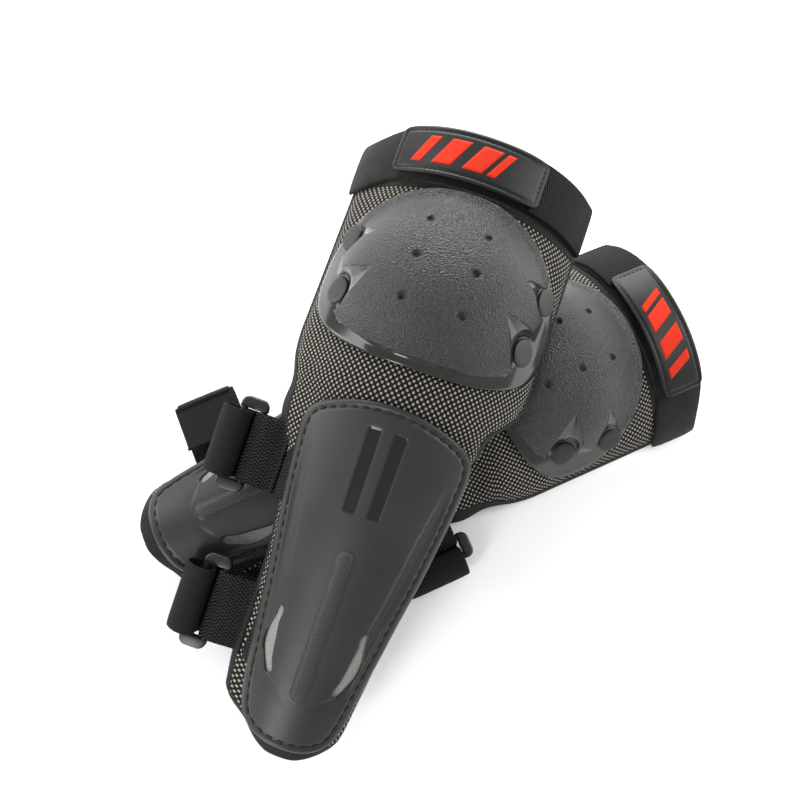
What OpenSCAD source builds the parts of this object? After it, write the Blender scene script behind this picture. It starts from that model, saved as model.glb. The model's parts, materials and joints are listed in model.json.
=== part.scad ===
// A pair of knee and shin guards, one lying across the other.
// Each guard is drawn in its own frame: X across the leg, Y from the shin's far end towards the thigh,
// Z out of the leg, with Y = 0 at the waist where it bends and Z = 0 on the surface that it lies on.
// The row's origin is on the floor, under the middle of the pair.

/* [Pad] */
// Length of the shin section, from the waist to its far end
shin_len = 232; // [200:1:280]
// Length of the knee section, from the waist to the thigh band
knee_len = 129; // [125:1:155]
// Radius of the shin pad's outer face at the waist
waist_r = 75; // [66:1:90]
// Radius of the shin pad's outer face at its far end
toe_r = 34.5; // [29:0.5:42]
// Height of the shin pad's crest at the waist
waist_h = 50; // [46:1:60]
// Height of the shin pad's crest at its far end
toe_h = 36.5; // [33:0.5:44]
// Radius of the knee pad's outer face
knee_r = 79; // [70:1:94]
// Height of the knee pad's crest
knee_h = 53; // [48:1:62]
// Thickness of the mesh cover
cover_t = 1.2; // [0.8:0.1:2]
// Thickness of the foam
foam_t = 7; // [5:0.5:9]
// Thickness of the lining
lining_t = 1.4; // [0.8:0.1:2.5]
// Width of the binding round the pad's edge
binding_w = 5; // [4:0.5:7]
// Height of the pad's side edges above the surface it lies on
edge_h = 5; // [4.8:0.1:8]

/* [Waist] */
// Depth of the bending axis under the shin pad's crest
hinge_depth = 14.5; // [10:0.5:18]
// Angle cut away on each side of the waist, so that the sides can close
notch = 24; // [20:1:30]

/* [Knee cup] */
// Radius of the cup's dome
dome_r = 64.5; // [60:0.5:68]
// Height of the dome's centre
dome_h = 14; // [11:0.5:18]
// Distance of the dome's centre from the waist
dome_y = 70; // [66:1:76]
// Wall of the cup
cup_t = 2.5; // [2:0.1:3.2]
// Half width of the cup's rim
rim_w = 72; // [68:1:76]
// Half length of the cup's rim
rim_l = 56; // [53:1:57]

/* [Rivets] */
// Radius of a rivet's head
head_r = 8; // [6.5:0.5:9]
// Height of a rivet's head
head_h = 2.6; // [2:0.2:4]
// Radius of a rivet's shank
shank_r = 2.4; // [2:0.1:3]
// Clearance round a rivet's shank
shank_gap = 0.3; // [0.2:0.05:0.5]
// Angle of the upper rivets from the crest
upper_rivet_a = 49.6; // [46:0.2:52]
// Distance of the upper rivets from the waist
upper_rivet_y = 87.5; // [84:0.5:92]
// Angle of the lower rivets from the crest
lower_rivet_a = 45.4; // [43:0.2:49]
// Distance of the lower rivets from the waist
lower_rivet_y = 52; // [49:0.5:56]

/* [Thigh band] */
// Width of the thigh band
thigh_w = 35; // [30:1:42]
// Thickness of the pile panel
panel_t = 3; // [2:0.2:4]
// Thickness of the thigh elastic
thigh_elastic_t = 1.8; // [1.4:0.1:2.4]
// Angle of the tab's sewn end from the crest
tab_a = 27.5; // [24:0.5:32]
// Length of the tab
tab_len = 97; // [85:1:105]
// Width of the tab
tab_w = 30; // [24:1:32]
// Thickness of the tab
tab_t = 2; // [1.6:0.1:2.6]

/* [Shin plate] */
// Wall of the shin plate
plate_t = 2.2; // [1.8:0.1:3]
// Half width of the plate near the waist
plate_top_w = 55; // [50:1:58]
// Half width of the plate near its far end
plate_end_w = 30; // [26:1:32]
// Bare margin between the plate's far end and the pad's end
plate_margin = 14; // [10:1:20]
// Depth of the two bar recesses
bar_depth = 0.8; // [0.5:0.1:1.2]
// Length of the bars
bar_len = 50; // [40:1:60]
// Thickness of the foam sheet behind the plate
backing_t = 1.4; // [1:0.1:2]

/* [Calf straps] */
// Width of the webbing
strap_w = 44; // [38:1:46]
// Thickness of the webbing and elastic
strap_t = 1.8; // [1.4:0.1:1.9]
// Distance of the upper strap from the waist
upper_strap_y = 58; // [50:1:65]
// Distance of the lower strap from the waist
lower_strap_y = 158; // [150:1:165]
// Distance from the guard's middle to the upper ring's inner bar
upper_ring_x = 79.5; // [78:0.5:88]
// Distance from the guard's middle to the lower ring's inner bar
lower_ring_x = 69.5; // [66:0.5:78]
// Height of the rings
ring_h = 9; // [8.8:0.1:11]
// Distance between a ring's two bars
ring_pitch = 12.5; // [12:0.5:14]
// Radius of a ring's bars
bar_r = 2.2; // [1.8:0.1:2.4]
// Thickness of a ring's end pieces
ring_end_t = 6; // [4:0.5:8]

/* [Placement] */
// Turn, pitch and roll of the front guard
front_turn = [-20, 19, 4];
// Place of the front guard's waist
front_at = [-16.98, 24.44, 78.6];
// Bend of the front guard at rest
front_flex = 10; // [0:1:14]
// Turn, pitch and roll of the rear guard
rear_turn = [-66, 1, 5];
// Place of the rear guard's waist
rear_at = [18.52, 36.44, 10.26];
// Bend of the rear guard at rest
rear_flex = 2; // [0:1:6]

/* [Hidden] */
$fn = 96;
gap = 0.3;                                   // between faces that don't touch
far = 300;                                   // larger than a guard
knee_c = knee_h - knee_r;                    // height of the knee pad's centre line
waist_c = waist_h - waist_r;
toe_c = toe_h - toe_r;
hinge_h = waist_h - hinge_depth;
pad_t = cover_t + foam_t + lining_t + 2 * gap;
cone_len = norm([shin_len, toe_c - waist_c]);
cone_tilt = atan((toe_c - waist_c) / shin_len);
cone_slope = (waist_r - toe_r) / cone_len;
cone_lead = 20;                              // the cone starts this far before the waist
cone_tail = 30;                              // and goes on this far past its far end
inset = binding_w + gap;
head_seat = head_r + 1.5;
seat_wall = 1.5;
rivet_spots = [[upper_rivet_a, upper_rivet_y], [lower_rivet_a, lower_rivet_y]];
thigh_y = knee_len + gap;
tab_sweep = tab_len / (knee_r + panel_t) * 180 / PI;
elastic_r = knee_r + gap + thigh_elastic_t / 2;
tab_hook_t = thigh_elastic_t;
front_slack = 0;                             // how far the elastic's fold stands out at its sewn side
rear_slack = 26;
plate_top_y = -5;
plate_end_y = -shin_len + plate_margin;
bridge_t = 1.2;
low_layer = 1.2;                             // heights of the strap's two layers under the pad
high_layer = low_layer + strap_t + 0.6;
return_len = 34;
hook_len = 28;
tape_t = 1.2;
crest_slope = atan((waist_h - toe_h) / shin_len);

// ---- frames ----

module placed(at, turn)
    translate(at) rotate([0, 0, turn[0]]) rotate([turn[1], 0, 0]) rotate([0, turn[2], 0]) children();

module bent(flex)
    translate([0, 0, hinge_h]) rotate([-flex, 0, 0]) translate([0, 0, -hinge_h]) children();

module front_shin() placed(front_at, front_turn) children();
module front_knee() front_shin() bent(front_flex) children();
module rear_shin() placed(rear_at, rear_turn) mirror([1, 0, 0]) children();
module rear_knee() rear_shin() bent(rear_flex) children();

// ---- surfaces and outlines ----

// Solid whose side is the shin pad's outer face, moved out by grow
module shin_solid(grow) {
    translate([0, 0, waist_c]) rotate([90 - cone_tilt, 0, 0]) translate([0, 0, -cone_lead])
        cylinder(h = cone_len + cone_lead + cone_tail,
            r1 = waist_r + grow + cone_lead * cone_slope,
            r2 = toe_r + grow - cone_tail * cone_slope);
}

module shin_shell(outer, inner) {
    difference() {
        shin_solid(outer);
        shin_solid(inner);
    }
}

// The same for the knee: a cylinder along Y
module knee_solid(grow, y0, y1)
    translate([0, y1, knee_c]) rotate([90, 0, 0]) cylinder(h = y1 - y0, r = knee_r + grow);

module knee_shell(outer, inner, y0, y1) {
    difference() {
        knee_solid(outer, y0, y1);
        knee_solid(inner, y0 - 1, y1 + 1);
    }
}

// Half width of a shin outline at the distance t of its length: a taper with a round end
function taper(t, top, end, round) =
    let (w = top + (end - top) * t)
    t < 1 - round ? w : w * sqrt(max(0, 1 - pow((t - 1 + round) / round, 2)));

// Outline with straight tapering sides and a round far end, from y0 down to y1
function tongue(top, end, y0, y1, round, steps = 14) =
    let (ts = concat([0], [for (i = [0 : steps]) 1 - round * cos(90 * i / steps)]))
    concat(
        [for (t = ts) [taper(t, top, end, round), y0 + (y1 - y0) * t]],
        [for (i = [len(ts) - 2 : -1 : 0])
            [-taper(ts[i], top, end, round), y0 + (y1 - y0) * ts[i]]]);

function superellipse(w, l, y, power, steps = 48) =
    [for (i = [0 : steps - 1])
        let (a = 360 * i / steps, c = cos(a), s = sin(a))
        [w * sign(c) * pow(abs(c), 2 / power), y + l * sign(s) * pow(abs(s), 2 / power)]];

module prism(points, z0 = -far, z1 = far)
    translate([0, 0, z0]) linear_extrude(z1 - z0) polygon(points);

// Everything above a height
module above(z) translate([-far, -far, z]) cube([2 * far, 2 * far, far]);

// Side view of one half of the waist cut, on the side of dir, kept back by a clearance
function half_profile(dir, back) = [
    [dir * back, far], [dir * back, hinge_h],
    [dir * (back + (hinge_h + far) * tan(notch)), -far],
    [dir * 3 * far, -far], [dir * 3 * far, far]];

module side_prism(points)
    translate([-far, 0, 0]) rotate([90, 0, 90]) linear_extrude(2 * far) polygon(points);

module shin_half(back = gap) side_prism(half_profile(-1, back));
module knee_half(back = gap) side_prism(half_profile(1, back));

// ---- bent bands, such as webbing, drawn in the X-Z plane and given a width along Y ----

function unit(d) = d / norm(d);

// Smooth curve through hand-placed points: on each stretch the ends' slopes are as long as the stretch,
// so a short stretch beside a long one doesn't overshoot
function spline_at(p, i, t) =
    let (n = len(p) - 1, a = p[i], b = p[i + 1], long = norm(b - a),
        u = long * unit(b - p[max(0, i - 1)]), v = long * unit(p[min(n, i + 2)] - a))
    a * (1 - t) * (1 - t) * (1 + 2 * t) + u * t * (1 - t) * (1 - t)
        + b * t * t * (3 - 2 * t) - v * t * t * (1 - t);

function spline(p, steps) = concat(
    [for (i = [0 : len(p) - 2]) for (k = [0 : steps - 1]) spline_at(p, i, k / steps)],
    [p[len(p) - 1]]);

function normal_at(c, i) =
    let (n = len(c) - 1, d = c[min(n, i + 1)] - c[max(0, i - 1)])
    [-d[1], d[0]] / norm(d);

function shifted(c, by) = [for (i = [0 : len(c) - 1]) c[i] + by * normal_at(c, i)];

function reversed(c) = [for (i = [len(c) - 1 : -1 : 0]) c[i]];

function slice(c, a, b) = [for (i = [a : b]) c[i]];

module band(curve, t, y0, y1)
    translate([0, y1, 0]) rotate([90, 0, 0]) linear_extrude(y1 - y0)
        polygon(concat(shifted(curve, t / 2), reversed(shifted(curve, -t / 2))));

// ---- knee ----

module rivet_axes()
    for (spot = rivet_spots) for (side = [-1, 1])
        translate([0, spot[1], knee_c]) rotate([0, side * spot[0], 0]) children();

module rivet_holes()
    rivet_axes() translate([0, 0, knee_r - pad_t - 5]) cylinder(h = 30, r = shank_r + shank_gap);

module knee_pad_area(shrink) {
    intersection() {
        above(edge_h + shrink);
        knee_half(shrink + gap);
        translate([-far, -far, -far]) cube([2 * far, far + knee_len - shrink, 2 * far]);
    }
}

module knee_layer(outer, inner, shrink) {
    intersection() {
        knee_shell(outer, inner, -60, knee_len + 10);
        knee_pad_area(shrink);
    }
}

module knee_cover() color("#2b2a28") difference() {
    knee_layer(0, -cover_t, inset);
    rivet_holes();
}

module knee_foam() color("#8c8c8a") difference() {
    knee_layer(-cover_t - gap, -cover_t - gap - foam_t, inset);
    rivet_holes();
}

module knee_lining() color("#1b1b1c") difference() {
    knee_layer(-cover_t - foam_t - 2 * gap, -pad_t, inset);
    rivet_holes();
}

module knee_binding() color("#161617") difference() {
    knee_layer(0, -pad_t, 0);
    knee_pad_area(binding_w);
}

module cup_outline(grow = 0)
    prism(superellipse(rim_w + grow, rim_l + grow, dome_y + 4, 2.6), 0);

module dome(grow) translate([0, dome_y, dome_h]) sphere(r = dome_r + grow);

module knee_cup() color("#3a3b3d") difference() {
    union() {
        difference() {
            dome(0);
            dome(-cup_t);
            knee_solid(gap, -20, 200);
            rivet_axes() cylinder(h = far, r = head_seat);
        }
        intersection() {
            knee_shell(gap + cup_t, gap, -20, 200);
            difference() {
                cup_outline();
                dome(-cup_t - 5);
            }
        }
        intersection() {
            dome(0);
            difference() {
                rivet_axes() cylinder(h = far, r = head_seat + seat_wall);
                rivet_axes() cylinder(h = far, r = head_seat);
                knee_solid(gap, -20, 200);
            }
        }
    }
    rivet_holes();
}

module knee_core() color("#8c8c8a") difference() {
    dome(-cup_t - 2 * gap);
    knee_solid(cup_t + 2 * gap, -20, 200);
    rivet_axes() cylinder(h = far, r = head_seat + seat_wall + gap);
}

module knee_rivets() color("#202123") rivet_axes() {
    translate([0, 0, knee_r + cup_t + 2 * gap]) cylinder(h = head_h, r1 = head_r, r2 = head_r - 1.5);
    translate([0, 0, knee_r - pad_t - 2.4]) cylinder(h = pad_t + cup_t + 3.2, r = shank_r);
}

module rivet_washers() color("#202123") rivet_axes() difference() {
    translate([0, 0, knee_r - pad_t - 2.2]) cylinder(h = 1.6, r = head_r - 1);
    cylinder(h = far, r = shank_r + 0.05);
}

// ---- thigh band ----

module pie(a0, a1, y0, y1)
    translate([0, y1, knee_c]) rotate([90, 0, 0]) linear_extrude(y1 - y0)
        polygon(concat([[0, 0]], [for (i = [0 : 4])
            let (a = a0 + (a1 - a0) * i / 4) far * [sin(a), cos(a)]]));

module thigh_arc(outer, inner, a0, a1, width) {
    y0 = thigh_y + (thigh_w - width) / 2;
    intersection() {
        knee_shell(outer, inner, y0, y0 + width);
        pie(a0, a1, y0 - 1, y0 + width + 1);
        above(edge_h);
    }
}

module thigh_panel() color("#1a1a1b") thigh_arc(0, -panel_t, -85, 85, thigh_w);

function arc_point(r, a) = [r * sin(a), knee_c + r * cos(a)];

function thigh_curve() =
    let (side = knee_r * sin(64), low = low_layer + 0.4,
        inner_r = knee_r - panel_t - 2 * gap - thigh_elastic_t / 2)
    concat(
        [for (a = [tab_a + 0.6 : 3.4 : 60]) arc_point(elastic_r, a)],
        spline([arc_point(elastic_r, 63), [side + 3.2, 5.6], [side + 0.6, 2.6], [side - 5, low],
            [side - 16, low], [0, low], [26 - side, low], [14 - side, low + 0.3],
            [8.4 - side, 4.8], arc_point(inner_r, -61), arc_point(inner_r, -57)], 5));

module thigh_elastic() color("#222224")
    band(thigh_curve(), thigh_elastic_t, thigh_y + 1, thigh_y + thigh_w - 1);

module thigh_tab() color("#1d1d1f")
    thigh_arc(gap * 2 + tab_hook_t + tab_t, gap * 2 + tab_hook_t, tab_a - tab_sweep, tab_a, tab_w);

module tab_hook() color("#121213")
    thigh_arc(gap + tab_hook_t, gap, tab_a - tab_sweep + 4, tab_a - 6, tab_w - 6);

// ---- waist ----

// Soft stretch that joins the two pads: two side gussets in the notch and a strip over the crest
module waist_bridge(flex) color("#2b2a28") {
    top = hinge_h - 4;
    side_view = [[gap + (hinge_h - top) * tan(notch) - gap, top],
        [(hinge_h - edge_h - 1) * tan(notch) - gap, edge_h + 1],
        [-(hinge_h - edge_h - 1) * tan(notch - flex) + gap, edge_h + 1],
        [-(hinge_h - top) * tan(notch - flex) + gap, top]];
    intersection() {
        knee_shell(bridge_t, -pad_t, -40, 40);
        side_prism(side_view);
    }
    intersection() {
        knee_shell(gap + bridge_t, gap, -3.4, 12);
        above(hinge_h - 6);
    }
}

// ---- shin ----

module shin_outline(shrink)
    prism(tongue(waist_r + 12 - shrink, toe_r + 8 - shrink, 20, -shin_len + shrink, 0.16));

module shin_pad_area(shrink) {
    intersection() {
        above(edge_h + shrink);
        shin_half(shrink + gap);
        shin_outline(shrink);
    }
}

module shin_layer(outer, inner, shrink) {
    intersection() {
        shin_shell(outer, inner);
        shin_pad_area(shrink);
    }
}

module shin_cover() color("#2b2a28") shin_layer(0, -cover_t, inset);

module shin_foam() color("#8c8c8a") shin_layer(-cover_t - gap, -cover_t - gap - foam_t, inset);

module shin_lining() color("#1b1b1c") shin_layer(-cover_t - foam_t - 2 * gap, -pad_t, inset);

module shin_binding() color("#161617") difference() {
    shin_layer(0, -pad_t, 0);
    shin_pad_area(binding_w);
}

module plate_outline(shrink = 0)
    prism(tongue(plate_top_w - shrink, plate_end_w - shrink, plate_top_y - shrink,
        plate_end_y + shrink, 0.13), 0);

// Crescent vent on one side: two arcs that meet in points
module vent(side) {
    y0 = -0.59 * shin_len;
    y1 = -0.78 * shin_len;
    x0 = 0.48 * plate_top_w;
    outer = [for (i = [0 : 8]) let (t = i / 8)
        [side * (x0 + (18.5 - x0) * t + 4.5 * sin(180 * t)), y0 + (y1 - y0) * t]];
    inner = [for (i = [7 : -1 : 1]) let (t = i / 8)
        [side * (x0 + (18.5 - x0) * t - 0.5 * sin(180 * t)), y0 + (y1 - y0) * t]];
    prism(concat(outer, inner), 0);
}

module bar_recess(side) {
    intersection() {
        shin_shell(3 * plate_t + 9, backing_t + 2 * gap + plate_t - bar_depth);
        prism([[side * 4.5, -20], [side * 13, -20], [side * 12, -20 - bar_len],
            [side * 4.5, -20 - bar_len]], 0);
    }
}

module centre_rib() {
    y0 = -0.42 * shin_len;
    y1 = -0.8 * shin_len;
    lift = waist_h + backing_t + 2 * gap + plate_t - 2.2;
    translate([0, y0, lift + y0 * tan(crest_slope)]) rotate([90 + crest_slope, 0, 0])
        cylinder(h = y0 - y1, r = 4.2);
}

module shin_plate() color("#232427") difference() {
    union() {
        intersection() {
            shin_shell(backing_t + 2 * gap + plate_t, backing_t + 2 * gap);
            plate_outline();
        }
        difference() {
            centre_rib();
            shin_solid(backing_t + 2 * gap + plate_t / 2);
        }
    }
    for (side = [-1, 1]) {
        vent(side);
        bar_recess(side);
    }
}

module shin_backing() color("#b9bab8") intersection() {
    shin_shell(gap + backing_t, gap);
    plate_outline(4);
}

// ---- calf straps ----
// y is the strap's middle, x the distance to the ring's inner bar, edge the pad's half width there

function pad_edge(y) =
    let (r = waist_r - y * cone_slope, c = waist_c + y * tan(cone_tilt))
    sqrt(r * r - pow(edge_h - c, 2));

// Point on the pad's outer face at a height, moved out by a clearance
function pad_side(y, z, out) =
    let (r = waist_r - (y - strap_w / 2) * cone_slope + out, c = waist_c + y * tan(cone_tilt))
    sqrt(r * r - pow(z - c, 2));

module anchor(y, x) color("#19191a") {
    loop_r = bar_r + 0.4;
    start = pad_side(y, 20, gap + strap_t / 2);
    strip = spline([[-start, 20], [-start - 3.5, 15.5], [-x + 4, ring_h + loop_r + strap_t / 2 + 0.5],
        [-x, ring_h + loop_r + strap_t / 2]], 5);
    band(strip, strap_t, -y - strap_w / 2, -y + strap_w / 2);
    translate([-x, -y + strap_w / 2, ring_h]) rotate([90, 0, 0]) difference() {
        cylinder(h = strap_w, r = loop_r + strap_t);
        translate([0, 0, -1]) cylinder(h = strap_w + 2, r = loop_r);
    }
}

module ring(y, x) color("#1f2023") {
    span = strap_w + 2.4;
    for (k = [0, 1])
        translate([-x - k * ring_pitch, -y + span / 2, ring_h]) rotate([90, 0, 0])
            cylinder(h = span, r = bar_r);
    for (side = [-1, 1])
        translate([-x, -y + side * (span + ring_end_t - 0.02) / 2, ring_h]) {
            for (k = [0, 1])
                translate([-k * ring_pitch, ring_end_t / 2, 0]) rotate([90, 0, 0])
                    cylinder(h = ring_end_t, r = bar_r + 0.3);
            translate([-ring_pitch, -ring_end_t / 2, -bar_r - 0.3])
                cube([ring_pitch, ring_end_t, 2 * bar_r + 0.6]);
        }
}

// The elastic's sewn side: a tight one starts under the binding, a slack one stands out beside the pad
function sewn_side(y, slack) =
    let (e = pad_side(y, 16, gap + strap_t / 2), b = max(pad_side(y, edge_h, 0), e) + 2, s = b + slack)
    slack > 0
        ? [[e, 18], [e + 1.4, 13], [s, 10], [s + 2.6, 7.2], [s + 0.6, high_layer + 0.7],
            [s - 4, high_layer], [b - 12, high_layer]]
        : [[b - 5, high_layer], [b - 14, high_layer]];

// From the sewn side under the pad to the ring, over its outer bar and back under itself
function calf_curve(y, x, slack) =
    let (up = x + ring_pitch / 2 + 0.4, h = ring_h)
    spline(concat(sewn_side(y, slack), [[0, high_layer], [-x + 12, high_layer], [-x + 3, high_layer],
        [-up + 2.4, high_layer + 0.5], [-up, h - 1], [-up - 0.4, h + 6], [-up - 4, h + 9.6],
        [-up - 11, h + 9.2], [-up - 16.6, h + 4.5], [-up - 18, h - 1], [-up - 15.5, low_layer + 1.6],
        [-up - 9, low_layer], [-x, low_layer], [-x + return_len / 2, low_layer],
        [-x + return_len, low_layer]]), 4);

module elastic(y, x, slack) color("#1c1c1e")
    band(calf_curve(y, x, slack), strap_t, -y - strap_w / 2 + 0.5, -y + strap_w / 2 - 0.5);

// Pile tape on the elastic's outer side, from the sewn side to its middle
module pile(y, x, slack) color("#141415") {
    outer_side = shifted(calf_curve(y, x, slack), (strap_t + tape_t) / 2 + 0.05);
    band(slack > 0 ? slice(outer_side, 8, 28) : slice(outer_side, 1, 8), tape_t,
        -y - strap_w / 2 + 3, -y + strap_w / 2 - 3);
}

module hook(y, x) color("#101011")
    translate([-x + return_len + 0.2, -y - strap_w / 2 + 2, low_layer - tape_t / 2])
        cube([hook_len, strap_w - 4, tape_t]);

module upper_anchor() anchor(upper_strap_y, upper_ring_x);
module lower_anchor() anchor(lower_strap_y, lower_ring_x);
module upper_ring() ring(upper_strap_y, upper_ring_x);
module lower_ring() ring(lower_strap_y, lower_ring_x);
module upper_elastic(slack) elastic(upper_strap_y, upper_ring_x, slack);
module lower_elastic(slack) elastic(lower_strap_y, lower_ring_x, slack);
module upper_pile(slack) pile(upper_strap_y, upper_ring_x, slack);
module lower_pile(slack) pile(lower_strap_y, lower_ring_x, slack);
module upper_hook() hook(upper_strap_y, upper_ring_x);
module lower_hook() hook(lower_strap_y, lower_ring_x);

front_knee() knee_cup();  // front_knee_cup
front_knee() knee_rivets();  // front_knee_rivets
front_knee() rivet_washers();  // front_rivet_washers
front_knee() knee_core();  // front_knee_core
front_knee() knee_cover();  // front_knee_cover
front_knee() knee_foam();  // front_knee_foam
front_knee() knee_lining();  // front_knee_lining
front_knee() knee_binding();  // front_knee_binding
front_knee() thigh_panel();  // front_thigh_panel
front_knee() thigh_elastic();  // front_thigh_elastic
front_knee() thigh_tab();  // front_thigh_tab
front_knee() tab_hook();  // front_tab_hook
front_knee() waist_bridge(front_flex);  // front_waist_bridge
front_shin() shin_plate();  // front_shin_plate
front_shin() shin_backing();  // front_shin_backing
front_shin() shin_cover();  // front_shin_cover
front_shin() shin_foam();  // front_shin_foam
front_shin() shin_lining();  // front_shin_lining
front_shin() shin_binding();  // front_shin_binding
front_shin() upper_anchor();  // front_upper_anchor
front_shin() upper_ring();  // front_upper_ring
front_shin() upper_elastic(front_slack);  // front_upper_elastic
front_shin() upper_pile(front_slack);  // front_upper_pile
front_shin() upper_hook();  // front_upper_hook
front_shin() lower_anchor();  // front_lower_anchor
front_shin() lower_ring();  // front_lower_ring
front_shin() lower_elastic(front_slack);  // front_lower_elastic
front_shin() lower_pile(front_slack);  // front_lower_pile
front_shin() lower_hook();  // front_lower_hook
rear_knee() knee_cup();  // rear_knee_cup
rear_knee() knee_rivets();  // rear_knee_rivets
rear_knee() rivet_washers();  // rear_rivet_washers
rear_knee() knee_core();  // rear_knee_core
rear_knee() knee_cover();  // rear_knee_cover
rear_knee() knee_foam();  // rear_knee_foam
rear_knee() knee_lining();  // rear_knee_lining
rear_knee() knee_binding();  // rear_knee_binding
rear_knee() thigh_panel();  // rear_thigh_panel
rear_knee() thigh_elastic();  // rear_thigh_elastic
rear_knee() thigh_tab();  // rear_thigh_tab
rear_knee() tab_hook();  // rear_tab_hook
rear_knee() waist_bridge(rear_flex);  // rear_waist_bridge
rear_shin() shin_plate();  // rear_shin_plate
rear_shin() shin_backing();  // rear_shin_backing
rear_shin() shin_cover();  // rear_shin_cover
rear_shin() shin_foam();  // rear_shin_foam
rear_shin() shin_lining();  // rear_shin_lining
rear_shin() shin_binding();  // rear_shin_binding
rear_shin() upper_anchor();  // rear_upper_anchor
rear_shin() upper_ring();  // rear_upper_ring
rear_shin() upper_elastic(front_slack);  // rear_upper_elastic
rear_shin() upper_pile(front_slack);  // rear_upper_pile
rear_shin() upper_hook();  // rear_upper_hook
rear_shin() lower_anchor();  // rear_lower_anchor
rear_shin() lower_ring();  // rear_lower_ring
rear_shin() lower_elastic(rear_slack);  // rear_lower_elastic
rear_shin() lower_pile(rear_slack);  // rear_lower_pile
rear_shin() lower_hook();  // rear_lower_hook
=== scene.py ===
import json
from math import acos, asin, atan2, copysign, cos, exp, hypot, pi, radians, sin, sqrt

import bmesh
import bpy
import numpy as np
from mathutils import Matrix, Vector


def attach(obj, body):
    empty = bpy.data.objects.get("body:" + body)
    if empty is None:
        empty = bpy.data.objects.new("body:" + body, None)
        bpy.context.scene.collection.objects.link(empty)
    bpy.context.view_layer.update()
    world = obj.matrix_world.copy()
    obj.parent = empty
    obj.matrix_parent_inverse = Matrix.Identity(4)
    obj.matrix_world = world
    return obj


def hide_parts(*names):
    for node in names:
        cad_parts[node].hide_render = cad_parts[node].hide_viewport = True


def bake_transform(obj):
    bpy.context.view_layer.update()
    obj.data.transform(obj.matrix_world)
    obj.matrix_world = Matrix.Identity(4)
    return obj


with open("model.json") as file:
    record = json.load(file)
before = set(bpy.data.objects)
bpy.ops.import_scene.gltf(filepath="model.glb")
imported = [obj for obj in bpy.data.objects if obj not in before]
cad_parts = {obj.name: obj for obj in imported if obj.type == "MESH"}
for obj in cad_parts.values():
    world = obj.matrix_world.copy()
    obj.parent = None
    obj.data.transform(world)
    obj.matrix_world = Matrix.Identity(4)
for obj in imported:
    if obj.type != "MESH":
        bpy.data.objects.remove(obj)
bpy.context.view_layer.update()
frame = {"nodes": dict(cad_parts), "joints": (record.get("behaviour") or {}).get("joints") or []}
print("frame loaded:", len(frame["nodes"]), "nodes")

scene = bpy.context.scene
mm = 0.001

# ---- camera, light and floor ----

camera = {
    "aim": (-16.3, 52.4, 0), "elevation": 71.37, "distance": 559.2, "roll": -0.22,
    "lens": 34.1, "shift": (-0.0062, -0.0015),
}
lights = [   # name, place and size in metres, power in watts
    {"name": "leftBox", "at": (-0.85, 0.25, 0.45), "size": (0.4, 0.8), "power": 6},
    {"name": "rightBox", "at": (0.85, 0.15, 0.50), "size": (0.4, 0.8), "power": 7},
    {"name": "topBox", "at": (0.05, 1.10, 0.55), "size": (1.2, 0.5), "power": 24},
    {"name": "frontBox", "at": (-0.55, -0.75, 0.45), "size": (0.22, 0.55), "power": 5.5},
]
world = {"colour": "#ffffff", "strength": 0.48}


def fromHex(text):  # an sRGB hex colour as linear red, green, blue and alpha
    parts = [int(text[i:i + 2], 16) / 255 for i in (1, 3, 5)]
    return tuple(c / 12.92 if c <= 0.04045 else ((c + 0.055) / 1.055) ** 2.4 for c in parts) + (1,)


def addCamera(spec):
    lens = bpy.data.cameras.new("camera")
    body = bpy.data.objects.new("camera", lens)
    scene.collection.objects.link(body)
    tilt = radians(spec["elevation"])
    forward = Vector((0, cos(tilt), -sin(tilt)))
    body.location = (Vector(spec["aim"]) - forward * spec["distance"]) * mm
    turn = forward.to_track_quat("-Z", "Y").to_matrix() @ Matrix.Rotation(radians(-spec["roll"]), 3, "Z")
    body.rotation_euler = turn.to_euler()
    lens.lens, lens.sensor_width = spec["lens"], 36
    lens.shift_x, lens.shift_y = spec["shift"]
    lens.clip_start, lens.clip_end = 0.02, 20
    scene.camera = body


def addLight(spec):
    lamp = bpy.data.lights.new(spec["name"], "AREA")
    lamp.shape, lamp.energy = "RECTANGLE", spec["power"]
    lamp.size, lamp.size_y = spec["size"]
    body = bpy.data.objects.new(spec["name"], lamp)
    scene.collection.objects.link(body)
    body.location = spec["at"]
    body.rotation_euler = (Vector((0, 0.02, 0.03)) - body.location).to_track_quat("-Z", "Y").to_euler()


addCamera(camera)
for spec in lights:
    addLight(spec)
sky = bpy.data.worlds.new("studio")
scene.world = sky
sky.use_nodes = True
skyShader = sky.node_tree.nodes["Background"]
skyShader.inputs["Color"].default_value = fromHex(world["colour"])
skyShader.inputs["Strength"].default_value = world["strength"]
scene.view_settings.view_transform = "Standard"

# ---- the guards' own axes ----

# A guard is shaped in millimetres in its own axes: x across the leg with the buckles on the negative
# side, y from the shin's far end to the thigh, z out of the leg. y is 0 at the waist.
guard = {"hingeHeight": 35.5, "bendReach": 22}


def jointNamed(name):
    return next(j for j in frame["joints"] if j["name"] == name)


def guardAxes(side):
    mirror = 1 if side == "front" else -1
    flex = jointNamed(side + "_flex")
    across = Vector(flex["axis"]).normalized()

    def section(hinge):
        along = (Vector(jointNamed(hinge)["axis"]) * mirror).normalized()
        out = across.cross(along)
        turn = Matrix((across * mirror, along, out)).transposed().to_4x4() @ Matrix.Scale(mm, 4)
        return Matrix.Translation(Vector(flex["pos_m"])) @ turn @ Matrix.Translation(
            (0, 0, -guard["hingeHeight"]))

    shin, knee = section(side + "_upper_ring_hinge"), section(side + "_tab_hinge")
    kneeAlong = shin.to_3x3().inverted() @ (knee.to_3x3() @ Vector((0, 1, 0)))
    return {"side": side, "mirror": mirror, "shin": shin, "knee": knee,
            "bend": atan2(-kneeAlong.z, kneeAlong.y)}


sides = {side: guardAxes(side) for side in ("front", "rear")}


def smoothStep(t):
    t = min(max(t, 0), 1)
    return t * t * (3 - 2 * t)


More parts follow.
